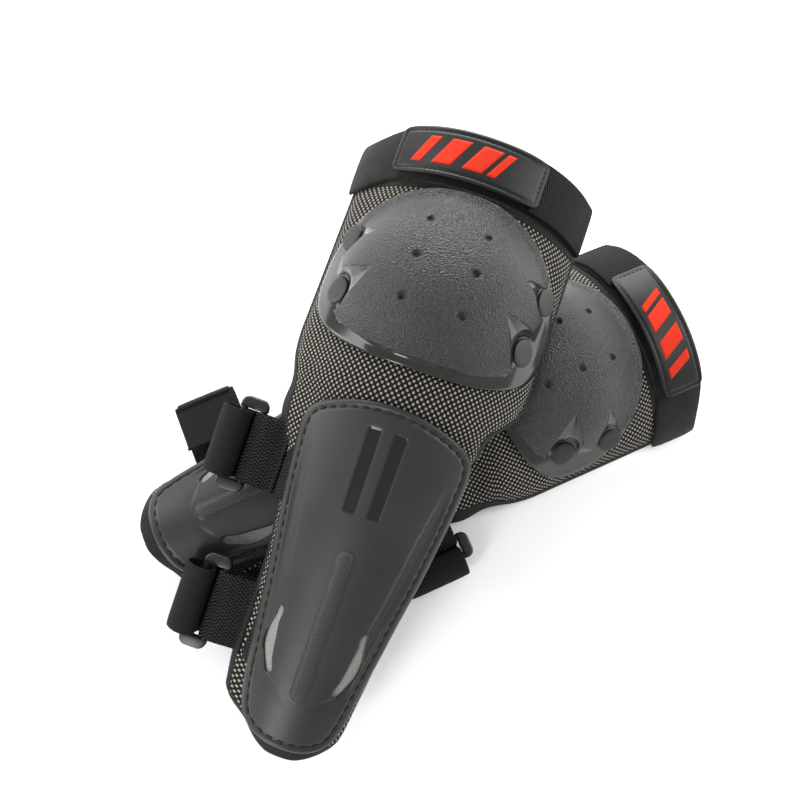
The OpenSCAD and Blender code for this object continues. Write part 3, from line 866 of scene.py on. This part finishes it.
def cupHeights(x, y, edge):
    # the dome smoothly joined to its flange, with the step round the grained area, the flutes,
    # the seats of the rivets and the dimples
    dy, dz = cup["domeCentre"]
    left = cup["domeRadius"] ** 2 - x ** 2 - (y - dy) ** 2
    dome = np.where(left > 0, dz + np.sqrt(np.maximum(left, 0)), dz + left / 40)
    flangeRadius = pad["kneeRadius"] + cup["clear"] + cup["wall"]
    flange = pad["kneeCentre"] + np.sqrt(np.maximum(flangeRadius ** 2 - x ** 2, 1))
    near = np.maximum(cup["join"] - np.abs(dome - flange), 0) / cup["join"]
    z = np.maximum(dome, flange) + near ** 2 * cup["join"] / 4
    outline = cup["grained"] + [(-px, py) for px, py in cup["grained"][-2:0:-1]]
    away = outlineDistance(x, y, outline)
    polish = smoothSteps((away + 0.3) / 0.6)
    low = smoothSteps((44 - y) / 8)
    hollow = np.where(away > 0, 1.2 * np.sin(pi * np.clip(away / 15, 0, 1)), 0) * low
    side = np.clip(away / 6, 0, 1) * 2.6 * (1 - low) * (y < 100)
    drop = cup["step"] * smoothSteps(away / cup["stepWidth"]) * (1 - 0.3 * low) + hollow + side
    standing = np.clip((z - flange) / 3.2, 0, 1)
    z = z - drop * standing
    for angle, spot in rivet["spots"]:
        rx, ry = rivetFlat(angle, spot)
        reach = np.hypot((np.abs(x) - rx) * 1.3, y - ry)
        z = mix(z, np.minimum(z, flange + 0.2), 1 - smoothSteps((reach - cup["seat"]) / 1.6))
    floor, radius, depth = cup["dimple"]
    for px, py in cup["dimples"]:
        spread = (np.hypot(np.abs(x) - px, y - py) - floor) / (radius - floor)
        z = z - depth * (1 - smoothSteps(spread))
    lip = np.clip((2.6 - edge) / 2.6, 0, 1)
    lipLift = 0.35 * (1 - smoothSteps((y - 85) / 15)) * (1 - low)
    return z + lipLift * np.sin(pi * np.clip((3.2 - edge) / 3.2, 0, 1)) - 1.1 * lip ** 6, polish


def buildCup():
    n = cup["cells"]
    bm = gridSheet(n, n, lambda a, b: (Vector((a, b, 0)), (0, 0)))
    bm.verts.ensure_lookup_table()
    flat, edge = [], []
    for v in bm.verts:
        size, dx, dy = discSpot(v.co.x, v.co.y)
        reach = cupRim(dx, dy) if size else 60
        flat.append((dx * size * reach, cup["middle"] + dy * size * reach))
        edge.append((1 - size) * reach * 0.9)
    x, y = np.array(flat).T
    z, polish = cupHeights(x, y, np.array(edge))
    shine = bm.verts.layers.float.new("polish")
    for i, v in enumerate(bm.verts):
        v.co = (x[i], y[i], z[i])
        v[shine] = polish[i]
    weave = bm.loops.layers.uv["weave"]
    for f in bm.faces:
        for loop in f.loops:
            loop[weave].uv = (loop.vert.co.x * mm, loop.vert.co.y * mm)
    return facingOut(bm)


makePair(buildCup(), "kneeCup", "knee", "knee", ["knee_cup"], "cup_plastic", finishes["cup"],
         thick=cup["wall"])


def buildRivets():
    # low domed heads with a rounded edge, and the shanks that go through the pad
    bm = bmesh.new()
    r, h, shank = rivet["radius"], rivet["height"], rivet["shank"]
    low = -pad["thickness"] - 5.5
    profile = [(0, h), (r * 0.6, h * 0.99), (r * 0.88, h * 0.92), (r * 0.96, h * 0.75), (r, h * 0.4),
               (r, 0), (shank, 0), (shank, low), (0, low)]
    head = bmesh.new()
    chain = [head.verts.new((x, 0, z)) for x, z in profile]
    edges = [head.edges.new(pair) for pair in zip(chain, chain[1:])]
    bmesh.ops.spin(head, geom=chain + edges, cent=(0, 0, 0), axis=(0, 0, 1), angle=2 * pi, steps=40,
                   use_merge=True)
    bmesh.ops.remove_doubles(head, verts=head.verts[:], dist=0.001)
    bmesh.ops.recalc_face_normals(head, faces=head.faces[:])
    lift = pad["kneeRadius"] + cup["clear"] + cup["wall"] + rivet["gap"] / 2
    for angle, y in rivet["spots"]:
        for side in (-1, 1):
            one = head.copy()
            turn = Matrix.Rotation(radians(angle) * side, 4, "Y")
            place = (Matrix.Translation((0, y, pad["kneeCentre"])) @ turn
                     @ Matrix.Translation((0, 0, lift)))
            bmesh.ops.transform(one, matrix=place, verts=one.verts[:])
            addTo(bm, one)
    head.free()
    return bm


makePair(buildRivets(), "rivets", "knee", "knee", ["knee_rivets"], "rivet_plastic", finishes["rivet"],
         smooth=35)
print("cups and rivets made")

# ---- the shin plate ----

plate = {
    "out": 4.2, "wall": 2.2, "cellsAcross": 124, "cellsAlong": 230,
    "top": [(0, -3), (13, -4), (26, -7), (38, -11.5), (46, -16), (51, -21.5)],
    "side": [(51, -21.5), (52.4, -29), (52.2, -40), (51.2, -55), (49.4, -73), (45.8, -100),
             (41.4, -126), (38, -148), (35, -166), (31.4, -190), (29, -200)],
    "end": [(29, -200), (26, -206), (20, -210.5), (11, -213.3), (0, -214)],
    "leftWider": 0.14,
    "panel": [(0, -24), (42, -28), (39, -52), (35, -75), (32, -97), (29, -117), (25.2, -136),
              (19, -176), (0, -190)],
    "vent": [(25, -135), (27, -143), (28, -151), (27.6, -160), (24.6, -168), (19, -175.5),
             (20.4, -165), (21.9, -155), (23.5, -145)],
    "bar": (3.8, 11.2, -18, -68.5), "rib": (4.7, -95, -179),
    "groove": (4.2, 0.8), "stitch": (7, 4.8, 0.75),
}


def alongOutline(points, count):
    # evenly spaced points of a smooth curve through a few
    curve = smoothPath([(x, y, 0) for x, y in points], 12)
    run = lengthsAlong(curve)
    found, k = [], 0
    for n in range(count + 1):
        where = run[-1] * n / count
        while k < len(run) - 2 and run[k + 1] < where:
            k += 1
        found.append(curve[k].lerp(curve[k + 1], (where - run[k]) / max(1e-9, run[k + 1] - run[k])))
    return found


def onPlate(x, y, out):
    # point above the pad; the plate reaches further round on the buckles' side near its far end
    if x < 0:
        x *= 1 + plate["leftWider"] * smoothStep((-y - 90) / 110)
    return shinPoint(y, shinAngle(x, y, out), out)


def plateOutline():
    half = (alongOutline(plate["top"], 30)[:-1] + alongOutline(plate["side"], 70)[:-1]
            + alongOutline(plate["end"], 24))
    return [(p.x, p.y) for p in half] + [(-p.x, p.y) for p in half[-2:0:-1]]


def smoothLoop(points):
    ring = [(x, y, 0) for x, y in points]
    curve = smoothPath(ring[-2:] + ring + ring[:2], 6)
    return [(p.x, p.y) for p in curve[12:-6]]


def plateOut(x, y, outline):
    # how far the plate's outer face stands out of the pad at each point
    edge = -outlineDistance(x, y, outline)
    ax = np.abs(x)
    place, width = plate["groove"]
    out = np.full(x.shape, plate["out"])
    out -= 1.1 * np.exp(-((edge - place) / width) ** 2)
    out -= 1.0 * np.clip((1.2 - edge) / 1.2, 0, 1) ** 3
    panel = plate["panel"] + [(-px, py) for px, py in plate["panel"][-2:0:-1]]
    raised = smoothSteps((-outlineDistance(x, y, panel) + 0.2) / 0.5)
    fade = smoothSteps((-y - 30) / 45) * smoothSteps((y + 190) / 25)
    out += 1.6 * (raised - 1) * fade * smoothSteps((edge - place - 1.5) / 3)
    x0, x1, y0, y1 = plate["bar"]
    bar = np.minimum(np.minimum(ax - x0, x1 + 0.4 * (y + 45) / 25 - ax), np.minimum(y0 - y, y - y1))
    sunk = smoothSteps((bar + 0.35) / 0.7)
    out -= 0.7 * sunk
    half, ribTop, ribEnd = plate["rib"]
    past = np.where(y > ribTop, y - ribTop, np.where(y < ribEnd, ribEnd - y, 0))
    reach = np.hypot(ax, past) / half
    rib = np.sqrt(np.clip(1 - reach ** 2, 0, 1))
    out += 2.3 * rib
    vent = smoothLoop(plate["vent"])
    hole = outlineDistance(ax, y, vent)
    out -= 0.5 * (1 - smoothSteps((hole + 0.2) / 0.9))
    return out, sunk, np.clip(rib * 1.6, 0, 1), hole


def halfWidthOf(side):
    # the plate's half width along its length, from the points of its side
    along, across = np.array([p.y for p in side])[::-1], np.array([p.x for p in side])[::-1]
    return lambda y: float(np.interp(y, along, across))


def buildPlate():
    outline = plateOutline()
    top, side, end = (alongOutline(plate[k], 200) for k in ("top", "side", "end"))
    halfWidth = halfWidthOf(side)

    def shape(a, b):
        share = (1 - b) / 2
        corner = mix(side[0].y, side[-1].y, share)
        x = a * halfWidth(corner)
        topRise = float(np.interp(abs(a) * top[-1].x, [p.x for p in top], [p.y for p in top]))
        endDrop = float(np.interp(abs(a) * end[0].x, [p.x for p in end][::-1], [p.y for p in end][::-1]))
        y = corner + (topRise - side[0].y) * (1 - share) ** 3 + (endDrop - side[-1].y) * share ** 5
        return Vector((x, y, 0)), (x * mm, y * mm)
    bm = gridSheet(plate["cellsAcross"], plate["cellsAlong"], shape)
    vent = smoothLoop(plate["vent"])
    x = np.array([v.co.x for v in bm.verts])
    y = np.array([v.co.y for v in bm.verts])
    hole = outlineDistance(np.abs(x), y, vent)
    # points next to a vent's edge move onto it, so the cut is clean
    loop = np.array(vent)
    for i in np.nonzero(np.abs(hole) < 0.52)[0]:
        ax = abs(x[i])
        best = None
        for (px, py), (qx, qy) in zip(loop, np.roll(loop, -1, 0)):
            dx, dy = qx - px, qy - py
            t = min(1, max(0, ((ax - px) * dx + (y[i] - py) * dy) / (dx * dx + dy * dy + 1e-12)))
            gap = hypot(ax - px - t * dx, y[i] - py - t * dy)
            if best is None or gap < best[0]:
                best = (gap, px + t * dx, py + t * dy)
        x[i], y[i] = copysign(best[1], x[i]), best[2]
    out, sunk, knurl, hole = plateOut(x, y, outline)
    shine = bm.verts.layers.float.new("polish")
    ridged = bm.verts.layers.float.new("knurl")
    inVent = {}
    for i, v in enumerate(bm.verts):
        v.co = onPlate(x[i], y[i], out[i])
        v[shine], v[ridged] = float(sunk[i]), float(knurl[i])
        inVent[v] = hole[i] < 0.03
    cut = [f for f in bm.faces if all(inVent[v] for v in f.verts)]
    bmesh.ops.delete(bm, geom=cut, context="FACES")
    return facingOut(bm)


makePair(buildPlate(), "shinPlate", "shin", "shin", ["shin_plate"], "plate_plastic", finishes["plate"],
         thick=plate["wall"])


def buildPlateStitches():
    outline = plateOutline()
    inset = plate["groove"][0]
    middle = Vector((0, -100, 0))
    path = []
    count = len(outline)
    for i in range(count + 1):
        here = Vector((*outline[i % count], 0))
        way = Vector((*outline[(i + 1) % count], 0)) - Vector((*outline[i - 1], 0))
        inward = Vector((way.y, -way.x, 0)).normalized()
        if inward.dot(middle - here) < 0:
            inward = -inward
        spot = here + inward * inset
        path.append(onPlate(spot.x, spot.y, plate["out"] - 0.55))
    return stitchRow(path, *plate["stitch"], -10)


makePair(buildPlateStitches(), "plateStitches", "shin", "shin", [], "binding", finishes["thread"])

backing = {"out": 1.0, "wall": 1.2, "inset": 0.9, "end": -207, "top": -26}


def buildBacking():
    # light foam sheet between the plate and the pad, seen through the vents
    halfWidth = halfWidthOf(alongOutline(plate["side"], 200))

    def shape(a, b):
        y = mix(backing["end"], backing["top"], (b + 1) / 2)
        x = a * halfWidth(y) * backing["inset"]
        return onPlate(x, y, backing["out"] + backing["wall"] / 2), (x * mm, y * mm)
    bm = gridSheet(24, 48, shape)
    return facingOut(bm)


makePair(buildBacking(), "plateBacking", "shin", "shin", ["shin_backing"], "light_foam",
         finishes["lightFoam"], thick=backing["wall"])
print("shin plates made")

# ---- the calf straps ----

strap = {
    "width": 44, "thick": 1.8, "ringHeight": 9, "ringPitch": 12.5, "barRadius": 2.2, "lowLayer": 1.2,
    "highLayer": 3.6, "returnLength": 34, "hookLength": 28, "tape": 1.2,
    "upper": {"y": 58, "ring": 79.5, "slack": {"front": 0, "rear": 0}},
    "lower": {"y": 158, "ring": 69.5, "slack": {"front": 0, "rear": 26}},
}


def padSide(y, z, out):
    r = pad["waistRadius"] - (y - strap["width"] / 2) * coneSlope + out
    centre = pad["waistCentre"] + y * coneRise / pad["shinLength"]
    return sqrt(r * r - (z - centre) ** 2)


def elasticPath(place, side):
    # from the sewn side under the pad to the ring, round its outer bar and back
    y, x, slack = place["y"], place["ring"], place["slack"][side]
    high, low, h = strap["highLayer"], strap["lowLayer"], strap["ringHeight"]
    e = padSide(y, 16, 0.3 + strap["thick"] / 2)
    b = max(padSide(y, pad["edgeHeight"], 0), e) + 2
    up = x + strap["ringPitch"] / 2 + 0.4
    s = b + slack
    sewn = [(e, 18), (e + 1.4, 13), (s, 10), (s + 2.6, 7.2), (s + 0.6, high + 0.7), (s - 4, high),
            (b - 12, high)] if slack else [(b - 24, high), (b - 28, high)]
    return [Vector(p) for p in (
        *sewn, (0, high), (-x + 12, high), (-x + 3, high),
        (-up + 2.4, high + 0.5), (-up, h - 1), (-up - 0.4, h + 6), (-up - 4, h + 9.6),
        (-up - 11, h + 9.2), (-up - 16.6, h + 4.5), (-up - 18, h - 1), (-up - 15.5, low + 1.6),
        (-up - 9, low), (-x, low), (-x + strap["returnLength"] / 2, low),
        (-x + strap["returnLength"], low))]


def buildAnchor(place):
    # webbing from under the plate's edge, down the pad's side, round the ring's inner bar and back
    x, h, r = place["ring"], strap["ringHeight"], strap["barRadius"] + 0.4 + strap["thick"] / 2
    lift = 0.4 + strap["thick"] / 2
    plateHalf = mix(*pad["plateHalf"], place["y"] / pad["plateLength"])
    start = shinAngle(plateHalf - 4, -place["y"], lift)
    side = padSide(place["y"], 20, lift)
    end = shinAngle(side * 0.985, -place["y"], lift)
    down = [shinPoint(-place["y"], -mix(start, end, k / 5), lift) for k in range(6)]
    path = [(p.x, p.z) for p in down] + [(-x + 5, h + r + 1.2), (-x, h + r)]
    path = [Vector((p.x, p.y)) for p in smoothPath([(a, b, 0) for a, b in path], 4)]
    path += [Vector((-x + r * sin(radians(t)), h + r * cos(radians(t)))) for t in range(-25, -201, -25)]
    path += [Vector((-x + 5, h - r * 0.5)), Vector((-side - 1.2, 13)), Vector((-side + 0.8, 17))]
    return strapMesh(path, strap["width"], strap["thick"], -place["y"])


def buildRing(place):
    # a moulded loop: two round bars between flat rounded ends
    x, h, pitch = place["ring"], strap["ringHeight"], strap["ringPitch"]
    half = strap["width"] / 2 + 1.4
    bm = bmesh.new()
    for k in (0, 1):
        turn = Matrix.Translation((-x - k * pitch, -place["y"], h)) @ Matrix.Rotation(pi / 2, 4, "X")
        bmesh.ops.create_cone(bm, cap_ends=True, segments=20, radius1=strap["barRadius"],
                              radius2=strap["barRadius"], depth=2 * half, matrix=turn)
    for side in (-1, 1):
        tab = bmesh.new()
        size = Matrix.Diagonal((pitch + 5.2, ringTab["length"], 2 * strap["barRadius"] + 0.8, 1))
        bmesh.ops.create_cube(tab, size=1, matrix=size)
        outer = [e for e in tab.edges if abs(e.verts[0].co.z - e.verts[1].co.z) > 1
                 and e.verts[0].co.y * side > 0]
        bmesh.ops.bevel(tab, geom=outer, offset=ringTab["round"], segments=7, profile=0.5,
                        affect="EDGES", material=-1)
        flat = [e for e in tab.edges if abs(e.verts[0].co.z - e.verts[1].co.z) < 0.01]
        bmesh.ops.bevel(tab, geom=flat, offset=ringTab["edge"], segments=3, profile=0.5,
                        affect="EDGES", material=-1)
        spot = Vector((-x - pitch / 2, -place["y"] + side * (half + ringTab["length"] / 2 - 0.6), h))
        bmesh.ops.translate(tab, verts=tab.verts[:], vec=spot)
        addTo(bm, tab)
    return bm


ringTab = {"length": 7.4, "round": 5, "edge": 1.3}
for level in ("upper", "lower"):
    place = strap[level]
    makePair(buildAnchor(place), level + "Anchor", "shin", "shin", [level + "_anchor"], "webbing",
             finishes["webbing"])
    makePair(buildRing(place), level + "Ring", "shin", level + "_ring", [level + "_ring"],
             "ring_plastic", finishes["ring"], smooth=50)
    for side, axes in sides.items():
        path = smoothPath([(p.x, p.y) for p in elasticPath(place, side)], 5)
        path = [Vector((p.x, p.y)) for p in path]
        bm = strapMesh(path, strap["width"] - 1, strap["thick"], -place["y"])
        makeObject(bm, axes, level + "Elastic", "shin", "shin", [level + "_elastic"],
                   "strap_elastic", finishes["strap"])
        bm.free()
        lift = strap["thick"] / 2 + strap["tape"] / 2 + 0.05
        tape = []
        for i in range(10, 35) if place["slack"][side] else range(1, 10):
            way = (path[i + 1] - path[i - 1]).normalized()
            tape.append(path[i] + Vector((-way.y, way.x)) * lift)
        bm = strapMesh(tape, strap["width"] - 6, strap["tape"], -place["y"])
        makeObject(bm, axes, level + "Pile", "shin", "shin", [level + "_pile"], "pile_fabric",
                   finishes["pile"])
        bm.free()
    start = -place["ring"] + strap["returnLength"] + 0.2
    flat = [Vector((start + strap["hookLength"] * k / 6, strap["lowLayer"])) for k in range(7)]
    makePair(strapMesh(flat, strap["width"] - 4, strap["tape"], -place["y"]), level + "Hook", "shin",
             "shin", [level + "_hook"], "hook_tape", finishes["hook"])
print("calf straps made")

# ---- the thigh band ----

thigh = {
    "start": 129.3, "width": 35, "panel": 3, "panelDrop": 9, "panelSpread": 8, "elastic": 1.8,
    "tab": 2, "tabWidth": 31, "tabEnd": 27.5, "tabLength": 97, "tabCorner": 9,
    "pressed": (0.7, 0.9), "edgeDrop": (0.6, 1.4),
    "stitchInset": 3, "stitchCorner": 2, "stitchStep": 2.0, "stitch": (3.2, 2.2, 0.32),
    "marks": [(-31, 7, 9), (-17, 12, 9), (2, 12, 9), (17, 5, 9)], "markHeight": 17,
}
thighMiddle = thigh["start"] + thigh["width"] / 2
tabRadius = pad["kneeRadius"] + 0.6 + thigh["elastic"] + thigh["tab"] / 2


def onKnee(radius, angle, y):
    return Vector((radius * sin(angle), y, pad["kneeCentre"] + radius * cos(angle)))


def buildPanel():
    # soft pile panel behind the tab, with a full rounded edge
    half = acos((pad["edgeHeight"] + 1 - pad["kneeCentre"]) / pad["kneeRadius"])

    def shape(a, b):
        turn = (b + 1) * pi
        c, s = cos(turn), sin(turn)
        y = thighMiddle + copysign(abs(c) ** 0.5, c) * thigh["width"] / 2
        out = -thigh["panel"] / 2 + copysign(abs(s) ** 0.6, s) * thigh["panel"] / 2
        out += 0.5 * sin(9 * a) * cos(6 * a + y / 7)
        angle = a * half
        # the free end spreads outward and down over the pad's corner
        spread = smoothStep((-a - 0.55) / 0.45)
        spot = onKnee(pad["kneeRadius"] - 0.5 + out, angle, y - thigh["panelDrop"] * spread)
        spot.x -= thigh["panelSpread"] * spread
        return spot, (angle * pad["kneeRadius"] * mm, y * mm)
    return closeUp(gridSheet(60, 30, shape))


def thighElasticPath():
    side = pad["kneeRadius"] * sin(radians(64))
    low = strap["lowLayer"] + 0.4
    outer = pad["kneeRadius"] + 0.3 + thigh["elastic"] / 2
    inner = pad["kneeRadius"] - thigh["panel"] - 0.6 - thigh["elastic"] / 2

    def arc(r, degrees):
        return (r * sin(radians(degrees)), pad["kneeCentre"] + r * cos(radians(degrees)))
    # over the knee, then down, below the leg and up inside the other wall
    step = 3.5
    first = [arc(outer, thigh["tabEnd"] - 3 + step * k)
             for k in range(int((60 - thigh["tabEnd"]) / step) + 2)]
    rest = [(side + 3.2, 5.6), (side + 0.6, 2.6), (side - 5, low), (side - 16, low), (0, low),
            (26 - side, low), (14 - side, low + 0.3), (8.4 - side, 4.8), arc(inner, -61),
            arc(inner, -57)]
    return [Vector((p.x, p.y)) for p in smoothPath(first + rest, 5)]


def tabPoint(u, v, lift):
    # u runs from the tab's free end to its sewn end, v across it
    angle = radians(thigh["tabEnd"]) + (u - thigh["tabLength"] / 2) / tabRadius
    return onKnee(tabRadius + lift, angle, thighMiddle + v)


def roundedRectangle(w, h, r, step):
    points = []
    for cx, cy, start in ((w - r, h - r, 0), (-w + r, h - r, 90),
                          (-w + r, -h + r, 180), (w - r, -h + r, 270)):
        points += [(cx + r * cos(radians(start + 18 * k)), cy + r * sin(radians(start + 18 * k)))
                   for k in range(6)]
    found = []
    for (ax, ay), (bx, by) in zip(points, points[1:] + points[:1]):
        steps = max(1, int(hypot(bx - ax, by - ay) / step))
        found += [(mix(ax, bx, k / steps), mix(ay, by, k / steps)) for k in range(steps)]
    return found + found[:1]


def ripple(u, v):
    return 0.15 * sin(u / 9) * cos(v / 6)


def buildTab():
    # coated patch: its border is pressed flatter outside the stitch line
    w, h, power = thigh["tabLength"] / 2, thigh["tabWidth"] / 2, thigh["tabCorner"]
    depth, spread = thigh["pressed"]
    drop, dropWidth = thigh["edgeDrop"]

    def shape(a, b):
        size, dx, dy = discSpot(a, b)
        reach = 0
        if size:
            reach = ((abs(dx) / w) ** power + (abs(dy) / h) ** power) ** (-1 / power) * size
        u, v = dx * reach, dy * reach
        edge = min(w - abs(u), h - abs(v))
        lift = thigh["tab"] / 2 - depth * exp(-((edge - thigh["stitchInset"]) / spread) ** 2)
        lift -= drop * (1 - smoothStep(edge / dropWidth)) - ripple(u, v)
        return tabPoint(u, v, lift), (u * mm, v * mm)
    return facingOut(gridSheet(90, 60, shape))


def buildTabStitches():
    inset = thigh["stitchInset"]
    loop = roundedRectangle(thigh["tabLength"] / 2 - inset, thigh["tabWidth"] / 2 - inset,
                            thigh["stitchCorner"], thigh["stitchStep"])
    path = [tabPoint(u, v, thigh["tab"] / 2 - 0.45) for u, v in loop]
    return stitchRow(path, *thigh["stitch"], pad["kneeCentre"])


def buildMark():
    # a plain row of slanted stripes
    bm = bmesh.new()
    half = thigh["markHeight"] / 2
    for start, wide, slant in thigh["marks"]:
        def shape(a, b, start=start, wide=wide, slant=slant):
            u = start + wide * (a + 1) / 2 + slant * b * 0.5
            v = half * b
            return tabPoint(u, v, thigh["tab"] / 2 + 0.12 + ripple(u, v)), (u * mm, v * mm)
        addTo(bm, gridSheet(8, 12, shape))
    bmesh.ops.recalc_face_normals(bm, faces=bm.faces[:])
    return bm


def buildTabHook():
    def shape(a, b):
        u = mix(-thigh["tabLength"] / 2 + 5, thigh["tabLength"] / 2 - 9, (a + 1) / 2)
        v = b * (thigh["tabWidth"] / 2 - 3)
        return tabPoint(u, v, -thigh["tab"] / 2 - 0.1), (u * mm, v * mm)
    return facingOut(gridSheet(50, 12, shape))


makePair(buildPanel(), "thighPanel", "knee", "knee", ["thigh_panel"], "pile_fabric", finishes["pile"],
         levels=1)
makePair(strapMesh(thighElasticPath(), thigh["width"] - 2, thigh["elastic"], thighMiddle),
         "thighElastic", "knee", "knee", ["thigh_elastic"], "ribbed_elastic", finishes["ribbed"])
makePair(buildTab(), "tab", "knee", "tab", ["thigh_tab"], "patch_fabric", finishes["patch"],
         thick=thigh["tab"] - 0.6)
makePair(buildTabStitches(), "tabStitches", "knee", "tab", [], "binding", finishes["thread"])
makePair(buildMark(), "tabMark", "knee", "tab", [], "patch_fabric", finishes["print"], thick=0.1)
makePair(buildTabHook(), "tabHook", "knee", "tab", ["tab_hook"], "hook_tape", finishes["hook"],
         thick=1.4)
print("thigh bands made")

# ---- what stays from the frame ----

for side in sides:
    washers = frame["nodes"][side + "_rivet_washers"]
    washers.data.materials.clear()
    washers.data.materials.append(finishes["rivet"])

print("pieces made:", len(made))
